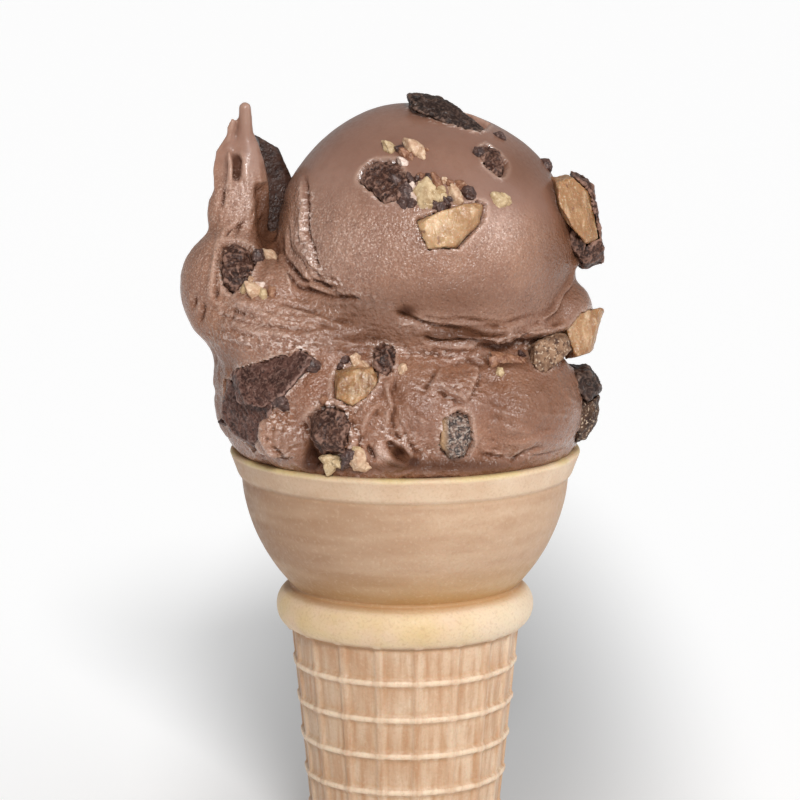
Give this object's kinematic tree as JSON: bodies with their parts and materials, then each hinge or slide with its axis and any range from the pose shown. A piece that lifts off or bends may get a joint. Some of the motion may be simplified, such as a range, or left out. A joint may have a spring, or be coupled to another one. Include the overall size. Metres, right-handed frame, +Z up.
{
  "type": "frozen custard",
  "caption": "Chocolate frozen custard scoops with chocolate, toffee and biscuit pieces, in a flat-bottomed wafer cup.",
  "frame": {"origin": "centre of the wafer cup's flat foot, on the surface it stands on", "axes": "+Z up along the cup's axis; the shown side faces -Y and the pulled-up tip of custard is at -X"},
  "size_m": [0.0837, 0.0717, 0.1563],
  "materials": {
    "wafer": "dry baked wafer, matt",
    "custard": "frozen chocolate custard, satin with fine frost",
    "chocolate": "dark chocolate, broken faces, satin",
    "toffee": "toffee, cloudy and slightly glossy",
    "biscuit": "biscuit, rough and frosty"
  },
  "bodies": {
    "root": {"wafer_cup": "wafer", "upper_scoop": "custard", "lower_scoop": "custard", "top_chocolate_shard": "chocolate", "top_right_chip": "chocolate", "front_chocolate": "chocolate", "front_toffee": "toffee", "right_toffee": "toffee", "right_chocolate": "chocolate", "seam_toffee": "toffee", "seam_biscuit": "biscuit", "side_chocolate": "chocolate", "side_biscuit": "biscuit", "big_chocolate": "chocolate", "middle_chip": "chocolate", "middle_toffee": "toffee", "rim_chocolate": "chocolate", "frosty_chocolate": "biscuit", "lobe_chocolate": "chocolate", "ear_chocolate_slab": "chocolate", "back_top_chocolate": "chocolate", "back_toffee": "toffee", "back_left_chip": "chocolate", "back_lobe_toffee": "toffee", "back_seam_chocolate": "chocolate", "back_low_toffee": "toffee", "back_low_chocolate": "chocolate", "back_rim_biscuit": "biscuit"}
  },
  "joints": []
}
